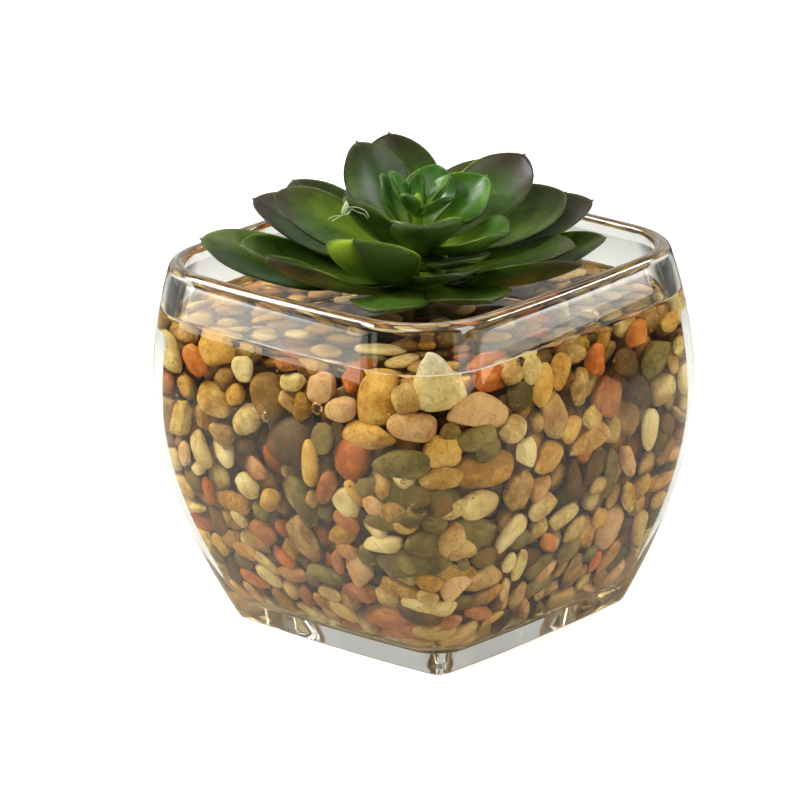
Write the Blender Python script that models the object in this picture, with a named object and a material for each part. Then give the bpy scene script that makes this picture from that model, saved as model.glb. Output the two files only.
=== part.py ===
"""An artificial echeveria standing in a square glass vase of river pebbles set in clear resin.

Metres, +Z up. The origin is the middle of the vase's underside, and the vase's sides face
along X and Y. The photograph looks at its corner at -X -Y. Turns of the leaves are measured
from the corner at +X -Y, seen from above and counter-clockwise.
"""

import math
import random

import bmesh
import bpy
from mathutils import Vector

MM = 0.001

# Vase: half of its diagonal, corner to middle, and the corner's rounding at three heights
VASE_HEIGHT = 94.4 * MM
WIDEST_HEIGHT = 58.0 * MM
BASE_DIAGONAL = 48.3 * MM
WIDEST_DIAGONAL = 67.8 * MM
RIM_DIAGONAL = 61.8 * MM
BASE_CORNER = 4.5 * MM
WIDEST_CORNER = 24.0 * MM
RIM_CORNER = 21.6 * MM
LOWER_SWELL = 1.7
UPPER_SWELL = 2.0
CORNER_SWELL = 1.3
SIDE_BOW = math.radians(3.5)
RIM_WALL = 3.9 * MM
FOOT_WALL = 5.0 * MM
GLASS_FLOOR = 7.0 * MM
FLOOR_FILLET = 6.0 * MM
HEEL = 1.0 * MM
RIM_STEPS = 5
SMALLEST_CORNER = 2.5 * MM

# Resin: the cast "water", with the pocket that the pebbles fill
CLEARANCE = 0.3 * MM
WATER_LEVEL = 80.5 * MM
RESIN_SKIN = 0.7 * MM
RESIN_LID = 2.6 * MM

# Pebbles: half sizes of a middling stone, and how they are laid out in rows and courses
PEBBLE_SEED = 11
PEBBLE_LENGTH = 7.0 * MM
PEBBLE_WIDTH = 6.2 * MM
PEBBLE_DEPTH = 4.6 * MM
PEBBLE_ROW = 13.6 * MM
PEBBLE_STEP = 16.4 * MM
PEBBLE_MARGIN = 0.3 * MM
PEBBLE_STAGGER = 0.5 * MM
PEBBLE_SINK = 0.75
PEBBLE_SIZES = (0.86, 1.14)
PEBBLE_LUMPS = (0.9, 1.08)
ALONG_WANDER = 0.18
ROW_WANDER = 0.12
FACE_WANDER = 1.0 * MM
FACE_SINK = 0.9 * MM
FACE_RISE = 0.3 * MM
CORE_INSET = 3.4 * MM

# Stem and the collars of the leaf whorls that are threaded on it
STEM_RADIUS = 2.0 * MM
STEM_FOOT = 48.0 * MM
COLLAR_HEIGHT = 2.8 * MM
LOWEST_COLLAR = 84.8 * MM
LEAF_THICKNESS = 2.0 * MM
EDGE_THICKNESS = 0.9 * MM
ROOT_DEPTH = 1.4 * MM
WIDEST_SHARE = 0.62
ROOT_SHARE = 0.34
ROOT_CURVE = 1.4
TIP_POINT = 0.7
TIP_THINNING = 0.35
ROLLED_BY = 0.4
LEAF_STATIONS = (0.0, 0.24, 0.48, 0.7, 0.87, 0.97)
LEAF_COLUMNS = (-1.0, -0.55, 0.0, 0.55, 1.0)

# Each whorl: collar radius in mm, then a leaf on each line: turn in degrees, reach from the
# stem and height of the tip in mm, width in mm, then bend, cup and roll in degrees
WHORLS = {
    "leaves_outer": (9.6, (
        (176, 54, 98.5, 24, 26, 20, -14),
        (190, 45, 100.0, 25, 34, 38, -6),
        (213, 45, 101.0, 22, 36, 36, 0),
        (252, 40, 91.0, 20, 12, 16, 0),
        (293, 40, 92.0, 21, 14, 18, 0),
        (328, 45, 96.5, 24, 24, 28, -18),
        (358, 46, 96.0, 19, 24, 26, 10),
        (42, 49, 96.0, 21, 16, 24, 0),
        (84, 50, 97.0, 22, 16, 24, 0),
        (128, 49, 102.5, 21, 26, 24, -8),
    )),
    "leaves_lower": (8.4, (
        (160, 43, 105.0, 23, 12, 26, -11),
        (236, 30, 105.0, 28, 72, 42, 6),
        (285, 32, 97.0, 18, 14, 20, 0),
        (340, 40, 97.5, 22, 14, 22, 4),
        (14, 45, 102.0, 23, 12, 26, 10),
        (58, 44, 101.5, 23, 14, 24, 0),
        (103, 44, 104.0, 22, 12, 24, 0),
    )),
    "leaves_middle": (7.2, (
        (170, 36, 108.5, 23, 24, 28, -14),
        (18, 39, 104.0, 24, 20, 28, 13),
        (60, 36, 108.0, 21, 24, 26, 0),
        (103, 26, 117.5, 22, 30, 26, 0),
        (301, 26, 98.0, 16, 22, 24, 0),
    )),
    "leaves_upper": (5.8, (
        (31, 32, 113.0, 22, 32, 28, 16),
        (130, 22, 118.0, 21, 30, 26, 0),
        (212, 21, 111.5, 19, 40, 42, 0),
        (272, 19, 106.0, 24, 36, 56, 0),
        (322, 27, 103.0, 21, 40, 50, 8),
    )),
    "leaves_inner": (4.4, (
        (23, 19, 110.5, 20, 44, 52, 20),
        (68, 14, 112.5, 15, 36, 44, 0),
        (150, 10, 113.0, 9, 24, 44, 0),
    )),
}

# Heart: the small stalk on top with its first leaves, in the same order as above
HEART_STALK = 1.5 * MM
HEART_TOP = 109.0 * MM
HEART_ROOT = 0.2 * MM
HEART_LEAF_RISE = 3.2 * MM
HEART_LEAVES = (
    (150, 7.5, 114.0, 7.0, 30, 50, 0),
    (20, 8.5, 112.5, 6.5, 20, 50, 0),
    (320, 10.5, 109.5, 8.0, 20, 50, 0),
    (235, 6.0, 110.5, 6.0, 30, 50, 0),
    (85, 3.5, 113.6, 4.5, 20, 55, 0),
)

CORNER_STEPS = 5
SIDE_STEPS = 2
STEM_SIDES = 12


def clear_scene():
    for thing in list(bpy.data.objects):
        bpy.data.objects.remove(thing, do_unlink=True)


def material(name, colour, roughness, metallic=0.0, transmission=0.0):
    made = bpy.data.materials.new(name)
    made.use_nodes = True
    shader = made.node_tree.nodes["Principled BSDF"]
    shader.inputs["Base Color"].default_value = (*colour, 1.0)
    shader.inputs["Roughness"].default_value = roughness
    shader.inputs["Metallic"].default_value = metallic
    shader.inputs["Transmission Weight"].default_value = transmission
    made.diffuse_color = (*colour, 1.0)
    return made


def add_object(name, bm, look, smooth_under=35):
    """An object of this mesh, shaded smooth below the given angle in degrees."""
    bmesh.ops.recalc_face_normals(bm, faces=bm.faces)
    mesh = bpy.data.meshes.new(name)
    bm.to_mesh(mesh)
    bm.free()
    mesh.materials.append(look)
    mesh.shade_smooth()
    mesh.set_sharp_from_angle(angle=math.radians(smooth_under))
    made = bpy.data.objects.new(name, mesh)
    bpy.context.scene.collection.objects.link(made)
    return made


def swell(z):
    """The vase's half diagonal and corner rounding at height z, on the outside."""
    if z < WIDEST_HEIGHT:
        down = (WIDEST_HEIGHT - z) / WIDEST_HEIGHT
        half = WIDEST_DIAGONAL - (WIDEST_DIAGONAL - BASE_DIAGONAL) * down**LOWER_SWELL
        corner = WIDEST_CORNER - (WIDEST_CORNER - BASE_CORNER) * down**CORNER_SWELL
    else:
        up = (z - WIDEST_HEIGHT) / (VASE_HEIGHT - WIDEST_HEIGHT)
        half = WIDEST_DIAGONAL - (WIDEST_DIAGONAL - RIM_DIAGONAL) * up**UPPER_SWELL
        corner = WIDEST_CORNER - (WIDEST_CORNER - RIM_CORNER) * up
    return half, corner


def rounded_square(z, inset):
    """How far out the centre of a corner's rounding is at height z, and its radius."""
    half, corner = swell(z)
    rounding = max(corner - inset, SMALLEST_CORNER)
    return (half - inset - rounding) / math.sqrt(2), rounding


def outline(z, inset):
    """Points round the vase at height z, moved in from its outside by inset."""
    middle, rounding = rounded_square(z, inset)
    side_radius = (middle + rounding * math.sin(SIDE_BOW)) / math.sin(SIDE_BOW)
    side_centre = middle + rounding * math.cos(SIDE_BOW) - side_radius * math.cos(SIDE_BOW)
    points = []
    for quarter in range(4):
        turn = quarter * math.pi / 2
        for step in range(SIDE_STEPS):
            angle = SIDE_BOW * (2 * step / SIDE_STEPS - 1)
            x = side_centre + side_radius * math.cos(angle)
            y = side_radius * math.sin(angle)
            points.append(turned(x, y, turn, z))
        for step in range(CORNER_STEPS):
            angle = SIDE_BOW + (math.pi / 2 - 2 * SIDE_BOW) * step / CORNER_STEPS
            x = middle + rounding * math.cos(angle)
            y = middle + rounding * math.sin(angle)
            points.append(turned(x, y, turn, z))
    return points


def turned(x, y, turn, z):
    return Vector((
        x * math.cos(turn) - y * math.sin(turn),
        x * math.sin(turn) + y * math.cos(turn),
        z,
    ))


def circle_like(ring, radius, z):
    """A circle with a point in the direction of each point of the ring."""
    return [Vector((p.x, p.y, 0)).normalized() * radius + Vector((0, 0, z)) for p in ring]


def stack(rings):
    """A closed mesh through these rings of points, with a flat cap at both ends."""
    bm = bmesh.new()
    rows = [[bm.verts.new(p) for p in ring] for ring in rings]
    for low, high in zip(rows, rows[1:]):
        for i in range(len(low)):
            j = (i + 1) % len(low)
            bm.faces.new((low[i], low[j], high[j]))
            bm.faces.new((low[i], high[j], high[i]))
    bm.faces.new(list(reversed(rows[0])))
    bm.faces.new(rows[-1])
    return bm


def spread(low, high, count):
    return [low + (high - low) * i / (count - 1) for i in range(count)]


def wall_inset(z, floor=GLASS_FLOOR, extra=0.0):
    """How far in from the vase's outside the inner wall is at height z, as measured level.

    extra moves it further in, and floor is where its rounded foot ends.
    """
    low = floor + FLOOR_FILLET
    at = max(z, low)
    lean = (swell(at + MM)[0] - swell(at)[0]) / MM
    wall = RIM_WALL + (FOOT_WALL - RIM_WALL) * (1 - at / VASE_HEIGHT)
    inset = wall * math.hypot(1, lean) + extra
    if z < low:
        sink = min((low - z) / FLOOR_FILLET, 1)
        inset += FLOOR_FILLET * (1 - math.sqrt(1 - sink**2))
    return inset


def inner_rings(floor, top, count, extra):
    """Rings up the inside, from the floor and round its fillet to the top."""
    low = floor + FLOOR_FILLET
    foot = [low - FLOOR_FILLET * math.sin(math.radians(angle)) for angle in (90, 60, 30)]
    heights = foot + spread(low, top, count)
    return [outline(z, wall_inset(z, floor, extra)) for z in heights]


def vase(look):
    bead = RIM_WALL / 2
    rings = [outline(0, HEEL)]
    rings += [outline(z, 0) for z in spread(HEEL, VASE_HEIGHT - bead, 9)]
    for step in range(1, RIM_STEPS):
        sweep = math.pi * step / RIM_STEPS
        z = VASE_HEIGHT - bead + bead * math.sin(sweep)
        rings.append(outline(z, bead - bead * math.cos(sweep)))
    rings += reversed(inner_rings(GLASS_FLOOR, VASE_HEIGHT - bead, 8, 0))
    return add_object("glass_vase", stack(rings), look)


def resin(look):
    floor = GLASS_FLOOR + CLEARANCE
    rings = inner_rings(floor, WATER_LEVEL, 7, CLEARANCE)
    hole = STEM_RADIUS + CLEARANCE
    ceiling = WATER_LEVEL - RESIN_LID
    rings.append(circle_like(rings[-1], hole, WATER_LEVEL))
    rings.append(circle_like(rings[-1], hole, ceiling))
    rings += reversed(inner_rings(floor + RESIN_SKIN, ceiling, 6, CLEARANCE + RESIN_SKIN))
    return add_object("resin_water", stack(rings), look)


def pull_in(point, room):
    """The point moved to lie inside the room: its inset from the inner wall, floor and top."""
    extra, low, high = room
    z = min(max(point.z, low), high)
    middle, rounding = rounded_square(z, wall_inset(z, low, extra))
    over_x = abs(point.x) - middle
    over_y = abs(point.y) - middle
    reach = math.hypot(max(over_x, 0), max(over_y, 0)) + min(max(over_x, over_y), 0)
    excess = reach - rounding
    if excess <= 0:
        return Vector((point.x, point.y, z))
    if over_x > 0 and over_y > 0:
        keep = rounding / reach
        x, y = middle + over_x * keep, middle + over_y * keep
    elif over_x > over_y:
        x, y = abs(point.x) - excess, abs(point.y)
    else:
        x, y = abs(point.x), abs(point.y) - excess
    return Vector((math.copysign(x, point.x), math.copysign(y, point.y), z))


def stone(rng, centre, outward, room):
    """A worn stone of about 20 faces, its thin way along outward, kept inside the room."""
    bm = bmesh.new()
    bmesh.ops.create_icosphere(bm, subdivisions=1, radius=1.0)
    side = outward.orthogonal().normalized()
    spin = rng.uniform(0, math.tau)
    across = outward.cross(side)
    long_way = side * math.cos(spin) + across * math.sin(spin)
    short_way = outward.cross(long_way)
    size = rng.uniform(*PEBBLE_SIZES)
    for vert in bm.verts:
        lump = size * rng.uniform(*PEBBLE_LUMPS)
        point = (
            centre
            + long_way * (vert.co.x * PEBBLE_LENGTH * lump)
            + short_way * (vert.co.y * PEBBLE_WIDTH * lump)
            + outward * (vert.co.z * PEBBLE_DEPTH * lump)
        )
        vert.co = pull_in(point, room)
    bmesh.ops.delete(bm, geom=bm.faces[:], context="FACES_ONLY")
    bmesh.ops.delete(bm, geom=bm.edges[:], context="EDGES_FACES")
    hull = bmesh.ops.convex_hull(bm, input=bm.verts)
    bmesh.ops.delete(bm, geom=hull["geom_interior"], context="VERTS")
    return bm


def pebble_places(rng, room):
    """Centres and outward directions of stones all over the bed's floor, sides and top."""
    extra, low, high = room
    places = []
    rows = round((high - low) / PEBBLE_ROW)
    for row in range(rows):
        z = low + (row + 0.5) * (high - low) / rows
        ring = outline(z, wall_inset(z, low, extra + PEBBLE_DEPTH * PEBBLE_SINK))
        length = sum((b - a).length for a, b in zip(ring, ring[1:] + ring[:1]))
        count = round(length / PEBBLE_STEP)
        for k in range(count):
            wander = rng.uniform(-ALONG_WANDER, ALONG_WANDER)
            along = (k + 0.5 * (row % 2) + wander) / count * len(ring)
            first = int(along) % len(ring)
            a, b = ring[first], ring[(first + 1) % len(ring)]
            point = a.lerp(b, along % 1.0)
            outward = Vector((b.y - a.y, a.x - b.x, 0)).normalized()
            point.z += rng.uniform(-ROW_WANDER, ROW_WANDER) * PEBBLE_ROW
            places.append((point, outward))
    sink = PEBBLE_DEPTH * PEBBLE_SINK
    for z, outward in ((high - sink, 1), (low + sink, -1)):
        reach = (swell(z)[0] - wall_inset(z, low, extra)) / math.sqrt(2)
        count = math.ceil(2 * reach / PEBBLE_STEP)
        for i in range(count):
            for j in range(count):
                x = ((i + 0.5 * (j % 2) + 0.25) / count * 2 - 1) * reach
                y = ((j + 0.5) / count * 2 - 1) * reach
                x += rng.uniform(-FACE_WANDER, FACE_WANDER)
                y += rng.uniform(-FACE_WANDER, FACE_WANDER)
                inner = pull_in(Vector((x, y, z)), (extra + PEBBLE_LENGTH, low, high))
                if math.hypot(x - inner.x, y - inner.y) < PEBBLE_LENGTH / 2:
                    lift = rng.uniform(-FACE_SINK, FACE_RISE) * outward
                    places.append((Vector((x, y, z + lift)), Vector((0, 0, outward))))
    return places


def pebbles(look):
    rng = random.Random(PEBBLE_SEED)
    extra = 2 * CLEARANCE + RESIN_SKIN + PEBBLE_MARGIN
    low = GLASS_FLOOR + 2 * CLEARANCE + RESIN_SKIN
    high = WATER_LEVEL - RESIN_LID - CLEARANCE
    heights = spread(low + CORE_INSET, high - CORE_INSET, 5)
    rings = [outline(z, wall_inset(z, low, extra + CORE_INSET)) for z in heights]
    core = add_object("river_pebbles", stack(rings), look)
    stones = []
    for centre, outward in pebble_places(rng, (extra, low, high)):
        own = rng.uniform(0, PEBBLE_STAGGER)
        bm = stone(rng, centre, outward, (extra + own, low + own, high - own))
        stones.append(add_object("stone", bm, look))
    fuse(core, stones)
    keep_largest(core.data)
    hole = round_bar("stem_hole", STEM_RADIUS + CLEARANCE, STEM_FOOT - CLEARANCE, VASE_HEIGHT, look)
    cut = core.modifiers.new("stem hole", "BOOLEAN")
    cut.operation = "DIFFERENCE"
    cut.object = hole
    bake_modifiers(core)
    bpy.data.objects.remove(hole, do_unlink=True)
    keep_largest(core.data)
    return core


def fuse(body, pieces):
    """Joins the pieces to the body in one Boolean union, and removes them."""
    group = bpy.data.collections.new("pieces")
    bpy.context.scene.collection.children.link(group)
    for piece in pieces:
        bpy.context.scene.collection.objects.unlink(piece)
        group.objects.link(piece)
    union = body.modifiers.new("union", "BOOLEAN")
    union.operation = "UNION"
    union.operand_type = "COLLECTION"
    union.collection = group
    bake_modifiers(body)
    for piece in pieces:
        bpy.data.objects.remove(piece, do_unlink=True)
    bpy.data.collections.remove(group)


def bake_modifiers(body):
    """Applies the body's modifiers to its mesh."""
    bpy.context.view_layer.update()
    graph = bpy.context.evaluated_depsgraph_get()
    done = bpy.data.meshes.new_from_object(body.evaluated_get(graph))
    body.modifiers.clear()
    body.data = done


def keep_largest(mesh):
    """Drops loose scraps and fills sealed hollows, which are the smaller shells of the mesh."""
    bm = bmesh.new()
    bm.from_mesh(mesh)
    unseen = set(bm.verts)
    shells = []
    while unseen:
        shell, edge = set(), [unseen.pop()]
        while edge:
            vert = edge.pop()
            shell.add(vert)
            near = {e.other_vert(vert) for e in vert.link_edges} & unseen
            unseen -= near
            edge.extend(near)
        shells.append(shell)
    shells.sort(key=len)
    bmesh.ops.delete(bm, geom=[v for shell in shells[:-1] for v in shell], context="VERTS")
    bm.to_mesh(mesh)
    bm.free()


def round_bar(name, radius, low, high, look):
    bm = bmesh.new()
    bmesh.ops.create_cone(
        bm, cap_ends=True, segments=STEM_SIDES, radius1=radius, radius2=radius, depth=high - low
    )
    bmesh.ops.translate(bm, verts=bm.verts, vec=(0, 0, (low + high) / 2))
    return add_object(name, bm, look)


def collar(name, radius, low, high, look):
    """A ring on the stem, which a whorl's leaves grow from."""
    hole = STEM_RADIUS + CLEARANCE
    bm = bmesh.new()
    turns = [math.tau * i / STEM_SIDES for i in range(STEM_SIDES)]
    corners = ((hole, low), (radius, low), (radius, high), (hole, high))
    rows = [
        [bm.verts.new((r * math.cos(t), r * math.sin(t), z)) for t in turns] for r, z in corners
    ]
    for near, far in zip(rows, rows[1:] + rows[:1]):
        for i in range(STEM_SIDES):
            j = (i + 1) % STEM_SIDES
            bm.faces.new((near[i], near[j], far[j], far[i]))
    return add_object(name, bm, look)


def breadth(s):
    """An echeveria leaf's outline: its share of the full width at the share s of its length."""
    if s < WIDEST_SHARE:
        rise = math.sin(math.pi / 2 * s / WIDEST_SHARE) ** ROOT_CURVE
        return ROOT_SHARE + (1 - ROOT_SHARE) * rise
    return max(1 - ((s - WIDEST_SHARE) / (1 - WIDEST_SHARE)) ** 2, 0) ** TIP_POINT


def leaf(root_radius, root_height, shape, look):
    """One thick spoon of a leaf, from its root inside the collar out to its small point."""
    turn, reach, top, width, bend, cup, roll = shape
    bend, cup, roll = (math.radians(a) for a in (bend, cup, roll))
    facing = math.radians(turn - 45)
    out = Vector((math.cos(facing), math.sin(facing), 0))
    level = Vector((-math.sin(facing), math.cos(facing), 0))
    rise, run = top * MM - root_height, reach * MM - root_radius
    start = math.atan2(rise, run) - bend / 2
    radius = math.hypot(rise, run) / (2 * math.sin(bend / 2))
    half = width * MM / 2

    def spot(s, column, lift):
        angle = start + bend * s
        along = out * math.cos(angle) + Vector((0, 0, math.sin(angle)))
        centre = (
            out * (root_radius + radius * (math.sin(angle) - math.sin(start)))
            + Vector((0, 0, root_height + radius * (math.cos(start) - math.cos(angle))))
        )
        lean = roll * min(s / ROLLED_BY, 1)
        up = level.cross(along) * -1
        side = level * math.cos(lean) + up * math.sin(lean)
        up = up * math.cos(lean) - level * math.sin(lean)
        curl = cup * column
        share = half * breadth(s) / cup
        normal = up * math.cos(curl) - side * math.sin(curl)
        thick = LEAF_THICKNESS * (1 - TIP_THINNING * s)
        thick += (EDGE_THICKNESS - thick) * column**2
        surface = side * (share * math.sin(curl)) + up * (share * (1 - math.cos(curl)))
        return centre + surface + normal * (lift * thick / 2)

    bm = bmesh.new()
    sheets = []
    for lift in (1, -1):
        rows = [[bm.verts.new(spot(s, c, lift)) for c in LEAF_COLUMNS] for s in LEAF_STATIONS]
        tip = bm.verts.new(spot(1.0, 0.0, lift * 0.6))
        sheets.append((rows, tip))
        for near, far in zip(rows, rows[1:]):
            for i in range(len(near) - 1):
                quad = (near[i], near[i + 1], far[i + 1], far[i])
                split = (quad[0], quad[1], quad[2]), (quad[0], quad[2], quad[3])
                for face in split:
                    bm.faces.new(face if lift > 0 else reversed(face))
        for i in range(len(rows[-1]) - 1):
            face = (rows[-1][i], rows[-1][i + 1], tip)
            bm.faces.new(face if lift > 0 else reversed(face))
    (upper, upper_tip), (lower, lower_tip) = sheets
    for side in (0, -1):
        edge_up = [row[side] for row in upper] + [upper_tip]
        edge_down = [row[side] for row in lower] + [lower_tip]
        for i in range(len(edge_up) - 1):
            bm.faces.new((edge_up[i], edge_up[i + 1], edge_down[i + 1], edge_down[i]))
    root_up, root_down = upper[0], lower[0]
    for i in range(len(root_up) - 1):
        bm.faces.new((root_up[i], root_up[i + 1], root_down[i + 1], root_down[i]))
    return add_object("leaf", bm, look)


def whorl(name, collar_low, look):
    """A moulded ring of leaves on its collar."""
    radius, shapes = WHORLS[name]
    body = collar(name, radius * MM, collar_low, collar_low + COLLAR_HEIGHT, look)
    root = radius * MM - ROOT_DEPTH
    blades = [leaf(root, collar_low + COLLAR_HEIGHT * 0.5, shape, look) for shape in shapes]
    fuse(body, blades)
    keep_largest(body.data)
    return body


def heart(low, look):
    body = round_bar("leaf_heart", HEART_STALK, low, HEART_TOP, look)
    root = low + HEART_LEAF_RISE
    blades = [leaf(HEART_ROOT, root, shape, look) for shape in HEART_LEAVES]
    fuse(body, blades)
    keep_largest(body.data)
    return body


def main():
    clear_scene()
    glass = material("clear pressed glass", (0.92, 0.96, 0.95), 0.02, transmission=1.0)
    water = material("clear cast resin", (0.95, 0.96, 0.93), 0.03, transmission=1.0)
    gravel = material("mixed river pebbles", (0.50, 0.33, 0.17), 0.45)
    old_leaf = material("dark leaf plastic", (0.05, 0.10, 0.035), 0.42)
    new_leaf = material("fresh leaf plastic", (0.09, 0.20, 0.05), 0.38)
    bark = material("stem plastic", (0.04, 0.06, 0.02), 0.5)
    vase(glass)
    resin(water)
    pebbles(gravel)
    low = LOWEST_COLLAR
    for name in WHORLS:
        whorl(name, low, new_leaf if name == "leaves_inner" else old_leaf)
        low += COLLAR_HEIGHT + CLEARANCE
    round_bar("plant_stem", STEM_RADIUS, STEM_FOOT, low - CLEARANCE, bark)
    heart(low, new_leaf)


main()
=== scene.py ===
from math import atan2, cos, exp, hypot, pi, radians, sin, sqrt, tau

import bmesh
import bpy
import numpy as np
from mathutils.bvhtree import BVHTree
from mathutils import Matrix, Vector


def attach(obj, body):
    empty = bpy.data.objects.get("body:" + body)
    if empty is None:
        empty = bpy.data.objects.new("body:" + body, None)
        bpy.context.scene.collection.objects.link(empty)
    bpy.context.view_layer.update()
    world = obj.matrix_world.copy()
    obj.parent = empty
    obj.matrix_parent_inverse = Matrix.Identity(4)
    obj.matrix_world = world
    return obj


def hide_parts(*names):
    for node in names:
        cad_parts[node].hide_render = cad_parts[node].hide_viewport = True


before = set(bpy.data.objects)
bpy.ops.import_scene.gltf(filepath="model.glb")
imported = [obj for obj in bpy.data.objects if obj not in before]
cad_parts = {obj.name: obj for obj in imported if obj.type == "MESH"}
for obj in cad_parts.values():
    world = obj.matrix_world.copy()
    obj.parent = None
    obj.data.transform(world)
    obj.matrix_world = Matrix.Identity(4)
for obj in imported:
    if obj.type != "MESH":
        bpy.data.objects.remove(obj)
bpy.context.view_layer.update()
mm = 0.001

# the photographer's camera: it looks down on the vase's front corner
camera = dict(
    turn=46.81,  # in degrees from +Y towards +X
    height=18.6,  # how far it looks down
    roll=1.915, distance=1.4, aimHeight=0.05,
    lens=251.96, sensor=36, shiftX=-0.0316, shiftY=0.0249, pixels=800,
    scale=4.03,  # pixels to a millimetre of the vase
)


def cameraAxes():  # where the camera stands, its right, its up and its view
    turn, height, roll = (radians(camera[key]) for key in ("turn", "height", "roll"))
    across = np.array((cos(turn), -sin(turn), 0))
    away = np.array((sin(turn), cos(turn), 0))
    up = np.array((0, 0, 1))
    view = away * cos(height) - up * sin(height)
    above = up * cos(height) + away * sin(height)
    right = across * cos(roll) - above * sin(roll)
    top = across * sin(roll) + above * cos(roll)
    return up * camera["aimHeight"] - view * camera["distance"], right, top, view


def setCamera():
    place, right, top, view = cameraAxes()
    data = bpy.data.cameras.new("photoCamera")
    data.sensor_width = camera["sensor"]
    data.lens = camera["lens"]
    data.shift_x, data.shift_y = camera["shiftX"], camera["shiftY"]
    holder = placed("photoCamera", data)
    turned = Matrix((right, top, -view)).transposed().to_4x4()
    holder.matrix_world = Matrix.Translation(place) @ turned
    bpy.context.scene.camera = holder


# shader maths: a Wire is a socket, and each operator on it adds a Math node
class Wire:
    def __init__(self, sheet, socket):
        self.sheet, self.socket = sheet, socket

    def maths(self, operation, first, second=0.0):
        return self.sheet.add("Math", {0: first, 1: second}, operation=operation)

    def __add__(self, other):
        return self.maths("ADD", self, other)

    def __sub__(self, other):
        return self.maths("SUBTRACT", self, other)

    def __rsub__(self, other):
        return self.maths("SUBTRACT", other, self)

    def __mul__(self, other):
        return self.maths("MULTIPLY", self, other)

    __radd__, __rmul__ = __add__, __mul__

    def __abs__(self):
        return self.maths("ABSOLUTE", self)

    def orMore(self, other):
        return self.maths("MAXIMUM", self, other)

    def rise(self, low, high):  # 0 below low, 1 above high, eased between
        sockets = {"Value": self, "From Min": low, "From Max": high}
        return self.sheet.add("MapRange", sockets, interpolation_type="SMOOTHSTEP")

    def of(self, name):  # another output of the same node
        return Wire(self.sheet, self.socket.node.outputs[name])


class Sheet:  # the nodes of a finish or of the world, and the one way to add to them
    def __init__(self, owner):
        self.owner = owner
        owner.use_nodes = True
        owner.node_tree.nodes.clear()

    def add(self, kind, sockets=None, **settings):
        node = self.owner.node_tree.nodes.new("ShaderNode" + kind)
        for name, value in settings.items():
            if name == "stops":
                self.setStops(node.color_ramp, value)
            else:
                setattr(node, name, value)
        for key, value in (sockets or {}).items():
            named = (each for each in node.inputs if each.name == key and each.enabled)
            socket = node.inputs[key] if isinstance(key, int) else next(named)
            if isinstance(value, Wire):
                self.owner.node_tree.links.new(value.socket, socket)
            else:
                socket.default_value = value
        outs = [socket for socket in node.outputs if socket.enabled]
        return Wire(self, outs[0]) if outs else node

    def setStops(self, ramp, stops):
        while len(ramp.elements) < len(stops):
            ramp.elements.new(1.0)
        for element, (place, colour) in zip(ramp.elements, stops):
            element.position, element.color = place, colour

    def blend(self, factor, first, second, mode="MIX"):
        sockets = {"Factor": factor, "A": first, "B": second}
        return self.add("Mix", sockets, data_type="RGBA", blend_type=mode)

    def layered(self, colour, layers):  # each colour lies over the ones before
        for factor, code in layers:
            colour = self.blend(factor, colour, paint(code))
        return colour

    def mark(self, name):  # a number kept on the mesh's points
        return self.add("Attribute", attribute_name=name).of("Fac")

    def cloud(self, scale, detail=2.0, roughness=0.5, place=None, shift=0.0):
        place = place or self.add("TexCoord").of("Object")
        sockets = {"Vector": place, "W": shift, "Scale": scale, "Detail": detail, "Roughness": roughness}
        return self.add("TexNoise", sockets, noise_dimensions="4D")

    def bump(self, height, strength, distance):
        return self.add("Bump", {"Height": height, "Strength": strength, "Distance": distance})

    def shown(self, surface):
        self.add("OutputMaterial", {"Surface": surface})
        return self.owner

    def plain(self, sockets):  # a finish that is one shader
        return self.shown(self.add("BsdfPrincipled", sockets))


def placed(name, data):
    holder = bpy.data.objects.new(name, data)
    bpy.context.scene.collection.objects.link(holder)
    return holder


def newFinish(name):
    return Sheet(bpy.data.materials.new(name))


def paint(code):  # a screen colour in hex digits, made linear
    shades = [int(code[i:i + 2], 16) / 255 for i in (0, 2, 4)]
    return tuple(((c + 0.055) / 1.055) ** 2.4 if c > 0.04 else c / 12.92 for c in shades) + (1.0,)


def unit(ways):  # ways of length 1
    return ways / np.maximum(np.linalg.norm(ways, axis=-1, keepdims=True), 1e-9)


# meshes
def addPiece(name, points, faces, finish, node, slot, marks=None):
    mesh = bpy.data.meshes.new(name)
    mesh.from_pydata(np.asarray(points).tolist(), [], faces)
    for key, values in (marks or {}).items():
        kept = mesh.attributes.new(key, "FLOAT", "POINT")
        kept.data.foreach_set("value", np.asarray(values, np.float32))
    mesh.shade_smooth()
    mesh.materials.append(finish)
    mesh.validate()
    piece = placed(name, mesh)
    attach(piece, "root")
    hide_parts(node)


def tubeFaces(rows, count):  # rings of points, joined in turn, with both ends shut
    faces = []
    for row in range(rows - 1):
        low, high = row * count, (row + 1) * count
        for i in range(count):
            j = (i + 1) % count
            faces.append((low + i, low + j, high + j, high + i))
    last = (rows - 1) * count
    return faces + [tuple(range(count - 1, -1, -1)), tuple(range(last, last + count))]


def rod(points, radii, side, other, sides):  # side and other lie across it at each point
    turns = np.arange(sides) * tau / sides
    rounds = np.column_stack([np.cos(turns), np.sin(turns)])
    rings = [p + r * (rounds @ (a, b)) for p, r, a, b in zip(points, radii, side, other)]
    return np.concatenate(rings), tubeFaces(len(rings), sides)


def joined(parts):  # one set of points and faces out of several
    points, faces, total = [], [], 0
    for somePoints, someFaces in parts:
        points.append(somePoints)
        faces += [tuple(i + total for i in face) for face in someFaces]
        total += len(somePoints)
    return np.concatenate(points), faces


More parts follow.
